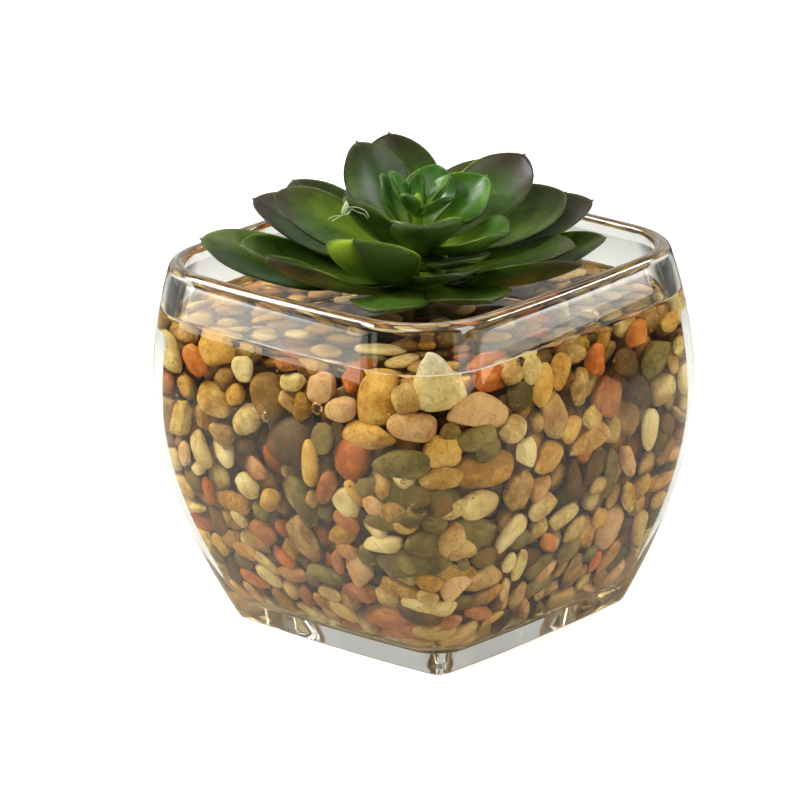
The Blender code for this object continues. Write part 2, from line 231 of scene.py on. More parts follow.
# glass vase: the same profile as the solid, in finer steps
vase = dict(
    height=94.4 * mm, widestHeight=58.0 * mm,
    baseHalf=48.3 * mm,  # half diagonals
    widestHalf=67.8 * mm, rimHalf=61.8 * mm,
    baseCorner=4.5 * mm,  # roundings of the four corners
    widestCorner=24.0 * mm, rimCorner=21.6 * mm, smallestCorner=2.5 * mm,
    lowerSwell=1.7,  # how the belly curves below and above its widest place
    upperSwell=2.0, cornerSwell=1.3,
    sideBow=radians(3.5),  # how far the sides turn out of flat
    rimWall=3.9 * mm, footWall=5.0 * mm, floor=7.0 * mm,
    fillet=6.0 * mm,  # between the floor and the inner wall
    heel=1.0 * mm,  # rounding of the foot's edge
    frontCorner=225,  # in degrees from +X
    sideSteps=14, cornerSteps=18, wallSteps=46, innerSteps=40, beadSteps=12,
    floorRings=(0.02, 0.5, 0.9),  # of the rings that close a flat floor
    # colour, refraction, and the tints of what it mirrors and of the light that falls through it
    clear=((0.79, 0.80, 0.75, 1), 1.5, (0.45, 0.42, 0.36, 1), (0.95, 0.96, 0.95, 1)),
)


def swell(z):  # half diagonal and corner rounding of the outside
    widest, half, corner = vase["widestHeight"], vase["widestHalf"], vase["widestCorner"]
    down = np.clip((widest - z) / widest, 0, 1)
    up = np.clip((z - widest) / (vase["height"] - widest), 0, 1)
    narrower = (half - vase["baseHalf"]) * down ** vase["lowerSwell"]
    sharper = (corner - vase["baseCorner"]) * down ** vase["cornerSwell"]
    half = half - narrower - (half - vase["rimHalf"]) * up ** vase["upperSwell"]
    return half, corner - sharper - (corner - vase["rimCorner"]) * up


def lean(z):  # how fast the outside widens with height
    return (swell(z + mm)[0] - swell(z)[0]) / mm


def wallInset(z, floor, extra=0.0):  # from the outside to the inner wall, or further in by extra
    low = floor + vase["fillet"]
    at = np.maximum(z, low)
    wall = vase["rimWall"] + (vase["footWall"] - vase["rimWall"]) * (1 - at / vase["height"])
    sink = np.clip((low - z) / vase["fillet"], 0, 1)
    return wall * np.hypot(1, lean(at)) + extra + vase["fillet"] * (1 - np.sqrt(1 - sink**2))


def wallHeights(floor, top, count):  # heights of the rings of an inner wall, with its fillet
    low = floor + vase["fillet"]
    foot = [low - vase["fillet"] * sin(radians(angle)) for angle in range(90, 0, -10)]
    return foot + list(np.linspace(low, top, count))


def roundedSquare(z, inset):  # how far out a corner's centre is, and its radius
    half, corner = swell(z)
    radius = np.maximum(corner - inset, vase["smallestCorner"])
    return (half - inset - radius) / sqrt(2), radius


def quarterTurns():  # the ways that the side at +X and the corner after it face
    bow, sides, corners = vase["sideBow"], vase["sideSteps"], vase["cornerSteps"]
    along = bow * (2 * np.arange(sides) / sides - 1)
    around = bow + (pi / 2 - 2 * bow) * np.arange(corners) / corners
    return along, around


def ring(z, inset):
    middle, radius = roundedSquare(z, inset)
    bow = vase["sideBow"]
    sideRadius = (middle + radius * sin(bow)) / sin(bow)
    sideCentre = middle + radius * cos(bow) - sideRadius * cos(bow)
    along, around = quarterTurns()
    x = np.concatenate([sideCentre + sideRadius * np.cos(along), middle + radius * np.cos(around)])
    y = np.concatenate([sideRadius * np.sin(along), middle + radius * np.sin(around)])
    quarters = [(x, y), (-y, x), (-x, -y), (y, -x)]
    flat = np.concatenate([np.stack(pair, 1) for pair in quarters])
    return np.column_stack([flat, np.full(len(flat), z)])


def ringTurns():  # the way that each point of a ring faces, in degrees from +X
    quarter = np.degrees(np.concatenate(quarterTurns()))
    return np.concatenate([quarter + turn for turn in (0, 90, 180, 270)])


def shrunk(edge, share):
    return edge * (share, share, 1)


def withFloor(rings):
    return [shrunk(rings[0], share) for share in vase["floorRings"]] + rings


def makeVase():
    bead, heel = vase["rimWall"] / 2, vase["heel"]
    shoulder = vase["height"] - bead
    rings = withFloor([ring(0, heel)])
    for angle in (30, 60):  # the rounded edge of the foot
        sweep = radians(angle)
        rings.append(ring(heel - heel * cos(sweep), heel - heel * sin(sweep)))
    rings += [ring(z, 0) for z in np.linspace(heel, shoulder, vase["wallSteps"])]
    for step in range(1, vase["beadSteps"]):  # the bead of the rim
        sweep = pi * step / vase["beadSteps"]
        rings.append(ring(shoulder + bead * sin(sweep), bead - bead * cos(sweep)))
    heights = wallHeights(vase["floor"], shoulder, vase["innerSteps"])
    rings += reversed(withFloor([ring(z, wallInset(z, vase["floor"])) for z in heights]))
    finish = clearFinish("vase glass", vase["clear"], coatFrom=vase["height"] - vase["rimWall"])
    faces = tubeFaces(len(rings), len(rings[0]))
    addPiece("vase", np.concatenate(rings), faces, finish, "glass_vase", "vase_glass")


# resin: clear, with a level top that creeps up the glass
resin = dict(
    level=80.5 * mm,
    creep=1.3 * mm,  # how far it climbs the glass
    creepWidth=1.7 * mm, ripple=0.10 * mm,
    waves=((0.21, 0.13, 1), (-0.11, 0.27, 0), (0.09, -0.17, 2)),  # along x, along y, and start
    bond=0.04 * mm,  # how far it is laid into the glass
    gap=0.3 * mm,  # to the glass at the two side corners, and between stacked parts
    looseHeights=(13 * mm, 77 * mm, 2 * mm),  # from, to, and over how much it lets go
    looseTurns=(73, 140, 5),  # the same, in degrees from the front corner
    wallSteps=56,
    topDepths=(0.15, 0.4, 0.8, 1.3, 2, 3, 4.5, 7, 10, 14, 19, 25, 31, 37, 42, 46),  # mm from its edge
    clear=((0.96, 0.80, 0.46, 1), 1.46, (0.12, 0.10, 0.08, 1), (0.99, 0.92, 0.74, 1)),
    feather=0.30 * mm,  # its thin edge, where a pale line is painted in places as a highlight, for the light that the meniscus catches
    featherFade=0.12 * mm, paintedGleam=(0.92, 0.88, 0.80, 1),
)


def resinTop(points, edgeDistance):
    x, y = points[:, 0] / mm, points[:, 1] / mm
    ripple = sum(np.sin(x * alongX + y * alongY + start) for alongX, alongY, start in resin["waves"])
    climb = resin["creep"] * exp(-edgeDistance / resin["creepWidth"])
    points[:, 2] = resin["level"] + climb + resin["ripple"] * ripple / len(resin["waves"])
    return points


def within(at, start, end, easing):
    return np.clip((at - start) / easing, 0, 1) * np.clip((end - at) / easing, 0, 1)


def resinRing(z, floor):
    turns = np.abs((ringTurns() - vase["frontCorner"] + 180) % 360 - 180)
    loose = within(z, *resin["looseHeights"]) * within(turns, *resin["looseTurns"])
    held = ring(z, wallInset(z, floor, -resin["bond"]))
    return held + (ring(z, wallInset(z, floor, resin["gap"])) - held) * loose[:, None]


def makeResin():
    floor, top = vase["floor"] - resin["bond"], resin["level"] + resin["creep"]
    rings = withFloor([resinRing(z, floor) for z in wallHeights(floor, top, resin["wallSteps"])])
    edge = rings[-1]
    reach = np.abs(edge[:, :2]).max()
    for depth in resin["topDepths"]:
        rings.append(resinTop(shrunk(edge, 1 - depth * mm / reach), depth * mm))
    finish = clearFinish("clear resin", resin["clear"], paintedGleamFrom=top - resin["feather"])
    faces = tubeFaces(len(rings), len(edge))
    addPiece("resin", np.concatenate(rings), faces, finish, "resin_water", "clear_resin")


def clearFinish(name, look, coatFrom=None, paintedGleamFrom=None):  # coated above that height, or given there a pale painted highlight line
    sheet = newFinish(name)
    place = sheet.add("TexCoord").of("Object")
    height = sheet.add("SeparateXYZ", {"Vector": place}).of("Z")
    colour, refraction, mirrored, passed = look
    sockets = {
        "Base Color": colour, "Roughness": 0.0, "IOR": refraction,
        "Transmission Weight": 1.0, "Specular Tint": mirrored}
    if coatFrom:
        sockets["Coat Weight"] = height.rise(coatFrom, coatFrom + mm)
    surface = sheet.add("BsdfPrincipled", sockets)
    if paintedGleamFrom:
        # painted highlight: a pale, matt strip on the resin's thin edge stands in for the light that its
        # meniscus catches
        paintedGleam = sheet.add("BsdfPrincipled", {"Base Color": resin["paintedGleam"], "Roughness": 0.15})
        patches = sheet.cloud(70).rise(0.40, 0.62) * 0.5 + 0.08
        paintedGleamShare = height.rise(paintedGleamFrom, paintedGleamFrom + resin["featherFade"]) * patches
        surface = sheet.add("MixShader", {0: paintedGleamShare, 1: surface, 2: paintedGleam})
    opened = sheet.add("BsdfTransparent", {"Color": passed})
    path = sheet.add("LightPath")
    soft = path.of("Is Shadow Ray").orMore(path.of("Is Diffuse Ray"))  # light falls straight through
    return sheet.shown(sheet.add("MixShader", {0: soft, 1: surface, 2: opened}))


# pebbles: packed by pushing apart pairs of balls, two to a stone
pebbles = dict(
    seed=7, count=1500,
    width=(4.4, 6.2, 9.0),  # mm: least, usual, most
    stretch=(1.05, 1.75), flatness=(0.62, 0.9), top=79.4 * mm,
    skin=0.55 * mm,  # clear resin between stone and glass
    gloom=7.0 * mm,  # how deep the painted shade grows full: stones are painted darker and more amber brown away from the glass, for the shadow between stones and the light the resin's amber takes
    hidden=12 * mm,  # deeper stones have a coarse mesh
    startSides=(-48, 48),  # mm, before they are pushed apart
    startHeights=(10, 78), steps=150,
    pairSteps=8,  # neighbours are looked for once in so many steps
    push=0.28,  # share of an overlap that goes in a step
    hold=0.35,  # share of its way back that a seen stone goes
    tuck=0.92,  # share of a ball's radius inside its stone
    seenThick=(0.72, 30),  # share of a seen stone's width, and the most in pixels
    seenSlant=1.2,  # how much a stone on a slanting wall may be drawn out
    seenRange=(-0.09, 0.04, 900),  # of a line of sight: from, to and steps
)
pebbleTraits = ("share", "tones", "lumps", "grain", "spots")
pebbleKinds = {name: dict(zip(pebbleTraits, values)) for name, *values in (
    ("tan", 0.25, ("7f5f38", "b8905a", "dabb88"), 0.07, 0.4, 0.5),
    ("honey", 0.15, ("946426", "c89444", "e4bd72"), 0.07, 0.4, 0.4),
    ("cream", 0.25, ("b4935c", "dcc592", "f0e4c4"), 0.06, 0.4, 0.4),
    ("olive", 0.13, ("4c4224", "76683c", "988a58"), 0.06, 0.4, 0.5),
    ("amber", 0.05, ("9c501c", "ca6c28", "dd9450"), 0.06, 0.4, 0.4),
    ("brick", 0.03, ("6e3a20", "a0603a", "c07e54"), 0.06, 0.4, 0.4),
    ("umber", 0.06, ("34240f", "573c1f", "7a5730"), 0.06, 0.5, 0.5),
    ("rose", 0.08, ("ac7850", "d0a07c", "e6c2a4"), 0.07, 0.3, 0.4),
    ("rough", 0.05, ("8f5f18", "c89a44", "e8d08a"), 0.12, 1.2, 0.8),
)}
# stones made out in the photograph: column, row, length and width in pixels, tilt in degrees,
# kind, and how pale in per cent
seenStones = (
    (178, 349, 43, 31, 90, "cream", 80), (206, 360, 37, 25, 118, "amber", 55),
    (227, 348, 41, 36, -30, "honey", 80), (253, 368, 30, 24, 105, "cream", 100),
    (234, 376, 21, 19, 0, "tan", 10), (280, 393, 50, 39, 100, "tan", 0),
    (298, 362, 33, 19, 0, "brick", 70), (302, 380, 30, 21, -10, "cream", 60),
    (332, 387, 33, 31, 0, "rose", 90), (310, 405, 30, 21, 80, "rough", 20),
    (350, 406, 35, 27, -10, "rose", 100), (258, 416, 32, 29, 70, "cream", 30),
    (225, 397, 45, 33, -45, "rough", 60), (304, 436, 48, 43, 60, "umber", 40),
    (388, 398, 50, 40, 95, "honey", 85), (375, 432, 54, 29, -12, "honey", 70),
    (415, 424, 48, 33, -10, "rose", 70), (332, 438, 34, 26, 90, "olive", 60),
    (360, 454, 43, 41, 0, "amber", 10), (320, 458, 45, 22, 100, "honey", 90),
    (213, 445, 41, 22, 115, "cream", 50), (196, 447, 26, 18, 100, "rose", 100),
    (193, 416, 38, 27, 90, "rough", 90), (486, 373, 54, 34, 28, "amber", 50),
    (472, 411, 50, 35, 8, "rose", 100), (508, 392, 32, 30, 0, "olive", 0),
    (532, 385, 42, 22, 82, "honey", 100), (522, 367, 31, 22, 75, "cream", 50),
    (550, 371, 36, 23, 80, "honey", 50), (584, 358, 38, 27, 85, "amber", 35),
    (593, 396, 45, 35, 70, "brick", 80), (612, 363, 31, 29, 0, "umber", 90),
    (627, 389, 33, 30, 0, "umber", 10), (627, 334, 31, 27, 80, "amber", 80),
    (656, 323, 25, 22, 0, "honey", 90), (644, 357, 48, 30, 65, "olive", 70),
    (665, 344, 19, 15, 90, "cream", 40), (671, 376, 35, 20, 90, "cream", 90),
    (543, 412, 45, 33, 100, "tan", 60), (567, 384, 38, 27, 75, "tan", 50),
    (558, 426, 31, 23, 60, "honey", 90), (580, 415, 22, 20, 0, "rough", 80),
    (577, 438, 50, 23, 35, "honey", 60), (637, 424, 41, 26, 80, "cream", 90),
    (665, 410, 33, 21, 100, "tan", 80), (502, 428, 31, 27, 45, "cream", 35),
    (516, 449, 31, 24, 90, "cream", 95), (537, 454, 36, 29, 50, "honey", 95),
    (479, 463, 51, 40, 30, "honey", 10), (441, 448, 37, 34, 0, "honey", 95),
    (440, 475, 32, 25, 20, "rough", 50), (473, 439, 34, 22, 30, "olive", 80),
    (561, 474, 39, 23, 88, "umber", 50), (582, 460, 38, 20, 65, "umber", 80),
    (597, 468, 53, 18, 80, "olive", 40), (614, 453, 37, 22, 95, "rose", 95),
    (645, 472, 40, 31, 50, "honey", 40), (613, 489, 30, 24, 80, "rough", 70),
    (506, 485, 44, 34, 65, "tan", 40), (530, 497, 37, 26, 40, "cream", 40),
    (471, 501, 38, 30, 35, "cream", 65), (443, 502, 32, 29, 0, "olive", 20),
    (549, 508, 39, 24, 40, "cream", 30), (561, 520, 34, 22, 55, "cream", 25),
    (593, 516, 45, 38, 60, "rose", 75), (625, 517, 43, 25, 75, "tan", 90),
    (535, 533, 23, 22, 0, "amber", 90), (499, 525, 43, 26, 55, "cream", 80),
    (448, 534, 79, 39, 14, "olive", 55), (505, 556, 36, 20, 70, "cream", 35),
    (523, 557, 38, 25, 45, "olive", 60), (455, 565, 33, 15, 5, "rough", 30),
    (471, 568, 38, 32, 30, "tan", 70), (247, 495, 41, 27, -20, "honey", 30),
    (259, 478, 31, 26, -50, "cream", 85), (276, 522, 36, 27, -40, "brick", 90),
    (282, 491, 25, 23, 0, "honey", 70), (315, 493, 54, 29, -62, "olive", 50),
    (316, 527, 54, 33, -55, "tan", 40), (337, 482, 34, 21, 80, "brick", 70),
    (357, 497, 36, 29, -60, "cream", 80), (397, 488, 67, 28, -14, "olive", 35),
    (406, 462, 50, 28, -5, "olive", 50), (399, 516, 55, 19, -6, "olive", 30),
    (357, 527, 34, 27, 0, "rough", 30), (392, 536, 39, 21, -10, "cream", 95),
    (370, 556, 34, 31, -60, "rose", 90), (417, 560, 62, 26, -5, "olive", 30),
    (305, 562, 36, 21, -15, "rose", 0), (337, 564, 40, 24, -20, "olive", 60),
    (349, 553, 27, 17, -70, "brick", 80), (372, 580, 37, 25, -20, "brick", 60),
    (400, 604, 56, 36, -14, "brick", 95), (326, 603, 41, 23, -20, "cream", 50),
    (303, 538, 28, 22, -60, "rough", 10), (258, 538, 32, 24, -30, "honey", 60),
    (232, 512, 34, 24, -60, "umber", 100), (219, 484, 30, 15, -70, "amber", 60),
    (207, 498, 28, 22, -50, "cream", 50), (233, 535, 28, 19, -55, "honey", 80),
    (267, 566, 36, 20, -30, "amber", 50), (278, 552, 38, 15, -40, "cream", 20),
    (319, 583, 25, 19, -60, "brick", 50), (342, 582, 28, 19, -25, "cream", 20),
    (406, 579, 36, 22, -30, "rough", 40), (431, 599, 42, 19, -10, "cream", 50),
    (467, 602, 38, 21, 5, "brick", 70), (433, 623, 80, 24, 0, "brick", 80),
    (487, 609, 30, 24, 45, "umber", 0), (493, 579, 28, 15, 75, "cream", 50),
    (558, 560, 38, 24, 60, "tan", 20), (580, 552, 26, 18, 60, "amber", 70),
    (594, 548, 46, 21, 55, "honey", 40), (608, 560, 46, 21, 50, "tan", 30),
    (528, 600, 38, 22, 45, "olive", 50), (510, 598, 26, 19, 70, "rose", 0),
    (525, 573, 36, 20, 35, "olive", 70), (575, 582, 33, 20, 45, "rose", 70),
    (481, 607, 30, 13, 35, "honey", 50), (497, 619, 28, 15, 30, "cream", 40),
)
surfaceStone = dict(  # it breaks the resin's surface behind the front corner
    out=56.2 * mm, right=1.0 * mm, height=79.0 * mm,
    halves=(7.7, 5.3, 4.0),  # mm up, to the right and to the front
    lean=0.12, kind="cream", pale=0.85,
)
wear = dict(
    square=(0.78, 1.0),  # powers that square a ball
    lumpScales=(1.3, 2.2, 3.9),
    porous=0.1,  # stones with larger lumps have pits
    pits=26, pitDepth=(0.04, 0.13), pitTightness=(20, 70),
    flats=(1, 6),  # worn flat sides: from 1 to 5
    flatAt=(0.66, 0.95), flatness=0.85, taper=0.2,
)


def bedDepth(places):  # from the nearest side of the pebbles' room
    low = vase["floor"] + resin["gap"]
    x, y, z = np.moveaxis(places, -1, 0)
    middle, corner = roundedSquare(z, wallInset(z, low, resin["gap"] + pebbles["skin"]))
    overX, overY = np.abs(x) - middle, np.abs(y) - middle
    outside = np.hypot(np.maximum(overX, 0), np.maximum(overY, 0))
    reach = outside + np.minimum(np.maximum(overX, overY), 0)
    return np.minimum(corner - reach, np.minimum(z - low - pebbles["skin"], pebbles["top"] - z))


def outwardAt(places):  # the way to the nearest wall, floor or top
    steps = np.eye(3) * 0.4 * mm
    slope = np.stack([bedDepth(places - step) - bedDepth(places + step) for step in steps], -1)
    return unit(slope)


def keepInRoom(balls, radii):  # moves back the balls that stick out
    for _ in range(2):
        excess = np.maximum(radii - bedDepth(balls), 0)
        balls = balls - outwardAt(balls) * excess[:, None]
    return balls


def nearPairs(balls, radii, owner):  # pairs that may touch, by cells wider than a ball
    span = 2.2 * radii.max()
    table = {}
    for i, cell in enumerate(map(tuple, np.floor(balls / span).astype(int).tolist())):
        table.setdefault(cell, []).append(i)
    shifts = [(a, b, c) for a in (-1, 0, 1) for b in (-1, 0, 1) for c in (-1, 0, 1)]
    found = []
    for (x, y, z), mine in table.items():
        others = [j for a, b, c in shifts for j in table.get((x + a, y + b, z + c), ())]
        first, second = np.repeat(mine, len(others)), np.tile(others, len(mine))
        found.append(np.column_stack([first, second])[first < second])
    pairs = np.concatenate(found)
    return pairs[owner[pairs[:, 0]] != owner[pairs[:, 1]]]


def sightLine(column, row):  # the camera's place, way through a pixel, right and up
    place, across, above, view = cameraAxes()
    pixels = camera["pixels"]
    focal = camera["lens"] / camera["sensor"] * pixels
    way = view + across * (column - pixels / 2 + camera["shiftX"] * pixels) / focal
    way = way + above * (pixels / 2 - row + camera["shiftY"] * pixels) / focal
    return place, unit(way), across, above


def stoneInPhoto(column, row, length, width, tilt):  # centre and half axes of a stone seen there
    thinness, thickest = pebbles["seenThick"]
    thick = min(thinness * width, thickest) / camera["scale"] * mm
    place, way, across, above = sightLine(column, row)
    near, far, count = pebbles["seenRange"]
    steps = np.linspace(camera["distance"] + near, camera["distance"] + far, count)
    steps = place + way * steps[:, None]
    depths = bedDepth(steps)
    centre = steps[np.argmax(depths > min(thick / 2, depths.max() * 0.9))]
    outward = outwardAt(centre)
    centre = keepInRoom(centre[None], np.array([thick / 2]))[0]
    angle = radians(tilt)
    halves = []
    for size, turn in ((length, 0), (width, pi / 2)):
        flat = across * cos(angle + turn) + above * sin(angle + turn)
        flat = flat - way * (flat @ outward) / (way @ outward)  # laid along the wall
        reach = np.linalg.norm(flat)
        halves.append(flat / reach * min(reach, pebbles["seenSlant"]) * size / 2 / camera["scale"] * mm)
    return centre, np.stack(halves + [outward * thick / 2])


def surfacePlace():
    front, right = np.array((-1, -1, 0)) / sqrt(2), np.array((1, -1, 0)) / sqrt(2)
    centre = front * surfaceStone["out"] + right * surfaceStone["right"]
    centre = centre + np.array((0, 0, surfaceStone["height"]))
    upward = np.array((0, 0, 1)) - right * surfaceStone["lean"]
    return centre, np.stack([upward, right, front]) * np.array(surfaceStone["halves"])[:, None] * mm


def ballPairs(middle, axis, link):
    return np.concatenate([middle - axis * link[:, None], middle + axis * link[:, None]])


def packStones(rng):
    known = [stoneInPhoto(*stone[:5]) for stone in seenStones] + [surfacePlace()]
    fixed = len(known)
    count = pebbles["count"] + fixed
    width = rng.triangular(*pebbles["width"], count) * mm
    stretch = rng.uniform(*pebbles["stretch"], count)
    flat = rng.uniform(*pebbles["flatness"], count)
    radius = width * (1 + flat) / 4
    link = width * stretch / 2 - radius * pebbles["tuck"]
    sides = rng.uniform(*pebbles["startSides"], (count, 2))
    centre = np.column_stack([sides, rng.uniform(*pebbles["startHeights"], count)]) * mm
    axis = rng.normal(size=(count, 3)) * (1, 1, 0.6)
    for i, (place, halves) in enumerate(known):
        sizes = np.linalg.norm(halves, axis=1)
        centre[i], axis[i] = place, halves[0]
        radius[i] = (sizes[1] + sizes[2]) / 2
        link[i] = max(sizes[0] - radius[i] * pebbles["tuck"], 0.1 * mm)
    axis = unit(axis)
    anchor = centre[:fixed].copy()
    owner, radii = np.tile(np.arange(count), 2), np.tile(radius, 2)
    balls = ballPairs(centre, axis, link)
    for step in range(pebbles["steps"]):
        if step % pebbles["pairSteps"] == 0:
            first, second = nearPairs(balls, radii, owner).T
        apart = balls[second] - balls[first]
        distance = np.maximum(np.linalg.norm(apart, axis=1), 1e-7)
        overlap = np.maximum(radii[first] + radii[second] - distance, 0)
        push = apart * (overlap / distance * pebbles["push"])[:, None]
        for k in range(3):
            ahead = np.bincount(second, push[:, k], len(balls))
            balls[:, k] += ahead - np.bincount(first, push[:, k], len(balls))
        balls = keepInRoom(balls, radii)
        middle = (balls[:count] + balls[count:]) / 2
        axis = unit(balls[count:] - balls[:count])
        middle[:fixed] += (anchor - middle[:fixed]) * pebbles["hold"]
        axis[:fixed] = [unit(halves[0]) for _, halves in known]
        balls = ballPairs(middle, axis, link)
    outward = outwardAt(middle)
    halves = np.empty((count, 3, 3))
    for i in range(count):  # each stone's thin way points out, as far as its length lets it
        thin = outward[i] - axis[i] * (outward[i] @ axis[i])
        if np.linalg.norm(thin) < 0.2:
            thin = np.cross(axis[i], rng.normal(size=3))
        thin = unit(thin)
        sizes = np.array((width[i] * stretch[i], width[i], width[i] * flat[i])) / 2
        halves[i] = np.stack([axis[i], np.cross(thin, axis[i]), thin]) * sizes[:, None]
    halves[:fixed] = [each for _, each in known]
    return middle, halves, fixed


def icoPoints(level):
    bm = bmesh.new()
    bmesh.ops.create_icosphere(bm, subdivisions=level, radius=1)
    points = np.array([v.co[:] for v in bm.verts])
    faces = [tuple(v.index for v in face.verts) for face in bm.faces]
    bm.free()
    return points, faces


def stoneShape(rng, ball, lumps):  # a worn stone about as large as the unit ball
    shape = np.sign(ball) * np.abs(ball) ** rng.uniform(*wear["square"])
    shape /= np.linalg.norm(shape, axis=1).mean()
    swelling = np.zeros(len(ball))
    for scale in wear["lumpScales"]:
        turn = rng.normal(size=(3, 3)) * scale
        swelling += np.sin(ball @ turn + rng.uniform(0, 6.3, 3)).sum(1) / scale
    shape = shape * (1 + lumps * swelling)[:, None]
    if lumps > wear["porous"]:
        for _ in range(wear["pits"]):
            near = ball @ unit(rng.normal(size=3))
            depth = rng.uniform(*wear["pitDepth"])
            pit = depth * np.exp((near - 1) * rng.uniform(*wear["pitTightness"]))
            shape = shape * (1 - pit)[:, None]
    for _ in range(rng.integers(*wear["flats"])):
        way = unit(rng.normal(size=3))
        above = shape @ way - rng.uniform(*wear["flatAt"])
        shape -= np.maximum(above, 0)[:, None] * way * wear["flatness"]
    taper = 1 + rng.uniform(-wear["taper"], wear["taper"]) * ball[:, :1]
    return shape * np.hstack([np.ones_like(taper), taper, taper])


def pointedShape(ball):  # wide and flat below, drawn up to a blunt point
    along = ball[:, :1] * 0.5 + 0.5
    narrow = (1.08 - 0.60 * along**1.8) / np.maximum(1 - 0.25 * (1 - along), 0.7)
    return np.hstack([ball[:, :1] * 1.05, ball[:, 1:] * narrow])


def makePebbles():
    rng = np.random.default_rng(pebbles["seed"])
    centres, halves, fixed = packStones(rng)
    balls = {"coarse": icoPoints(2), "fine": icoPoints(3), "finest": icoPoints(4)}
    names = list(pebbleKinds)
    shares = np.array([pebbleKinds[name]["share"] for name in names])
    picks = rng.choice(names, len(centres), p=shares / shares.sum())
    tones = rng.uniform(size=len(centres))
    depths = bedDepth(centres)
    for i, stone in enumerate(seenStones):
        picks[i], tones[i] = stone[5], stone[6] / 100
    last = fixed - 1
    picks[last], tones[last] = surfaceStone["kind"], surfaceStone["pale"]
    centres[last], halves[last] = surfacePlace()
    groups = {name: [] for name in names}
    for i, name in enumerate(picks):
        size = "finest" if name == "rough" or i < fixed else "fine"
        ball, faces = balls["coarse" if depths[i] > pebbles["hidden"] else size]
        shape = stoneShape(rng, ball, pebbleKinds[name]["lumps"])
        if i == last:
            shape = pointedShape(shape)
        groups[name].append((centres[i] + shape @ halves[i], faces, np.full(len(ball), tones[i])))
    for name, stones in groups.items():
        points, faces = joined([stone[:2] for stone in stones])
        # depth from the glass, which drives the painted shade
        gloom = np.clip(bedDepth(points) / pebbles["gloom"], 0, 1.5)
        marks = {"tone": np.concatenate([stone[2] for stone in stones]), "gloom": gloom}
        finish = pebbleFinish(name, pebbleKinds[name])
        addPiece("pebbles_" + name, points, faces, finish, "river_pebbles", "pebble_stone", marks)


def pebbleFinish(name, kind):
    sheet = newFinish("pebble " + name)
    tone, gloom, spots = sheet.mark("tone"), sheet.mark("gloom"), kind["spots"]
    dark, mid, pale = kind["tones"]
    place = sheet.add("TexCoord").of("Object")
    cloud = sheet.cloud(230, 5, 0.65, place, tone * 9)
    vein = sheet.cloud(85, 2, 0.5, place, tone * 5 + 3)
    grain = sheet.cloud(1100, 5, 0.75, place, tone * 7)
    dots = sheet.add("TexVoronoi", {"Vector": place, "Scale": 380.0}).of("Distance")
    pits = (1 - dots.rise(0.06, 0.17)) * cloud.rise(0.44, 0.56) * spots
    crack = (1 - abs(vein - 0.47).rise(0.002, 0.014)) * cloud.rise(0.42, 0.58)
    paleness = tone * 0.8 + 0.1 + (cloud - 0.5) * 2.8 + (grain - 0.5) * 3.2
    stops = (0.05, paint(dark)), (0.5, paint(mid)), (0.95, paint(pale))
    body = sheet.add("ValToRGB", {"Fac": paleness}, stops=stops)
    coloured = sheet.layered(body, (
        (vein.rise(0.54, 0.70) * 0.45, "9a5a1c"),
        (crack * spots * 0.8, "6b4320"),
        (grain.rise(0.52, 0.60) * spots, dark),
        ((1 - grain).rise(0.55, 0.64) * spots * 0.7, pale),
        (pits * 0.8, "4a2e14"),
    ))
    # painted shade: deeper stones are darkened towards amber brown, standing in for shadow between stones
    # and light taken by the resin
    shade = sheet.blend(gloom.rise(0.2, 1.4), (1, 1, 1, 1), paint("ad8350"))
    height = cloud * 0.6 + grain * kind["grain"] - pits * 0.5 - crack * 0.3
    return sheet.plain({
        "Base Color": sheet.blend(1.0, coloured, shade, "MULTIPLY"),
        "Roughness": 0.36 + grain * 0.25, "Specular IOR Level": 0.3,
        "Normal": sheet.bump(height, 0.9, 0.4 * mm)})


# leaves, with the numbers of the solids: turn from the vase's corner at +X -Y, reach and height
# of the tip in mm, width in mm, then bend, cup and roll in degrees, and how brown the tip is
leaf = dict(
    seed=3, thickness=2.0 * mm,
    thinning=0.35,  # towards the tip
    edgeThinning=0.45,  # towards both edges
    rootShare=0.34,  # width at the root
    rootCurve=1.4,
    widest=0.62,  # where along it it is widest
    point=0.64,  # lower is blunter
    rolledBy=0.4,  # where along it the roll is complete
    spike=(0.45 * mm, 0.7 * mm),  # half width and length of its little point, if 24 mm wide
    spikeRows=(1.001, 1.4, 2),  # past the tip, which is at 1
    wave=0.35 * mm,
    yellow={236: 1.0, 176: 0.35, 170: 0.4, 212: 0.5, 18: 0.3},  # by turn: how strongly its left half is painted light green as if lit through from behind, with its right half darkened as painted shadow
    rows=30, columns=15,
    rowCrowding=1.35,  # towards the tip
    collarHeight=2.8 * mm,
    collarEdge=(0.6 * mm, 0.5 * mm),  # how far its bevel goes in and down
    lowestCollar=84.8 * mm, rootDepth=1.4 * mm,
    oldTones=("284313", "527a2a", "8aa22e"),  # deep, middle and fresh
    newTones=("325c18", "5f963c", "98b83c"),
)
stem = dict(
    foot=48 * mm, bevel=1 * mm, radii=(1.4 * mm, 2 * mm, 2 * mm, 1.6 * mm),
    tones=("1d2210", "37401c"),
)
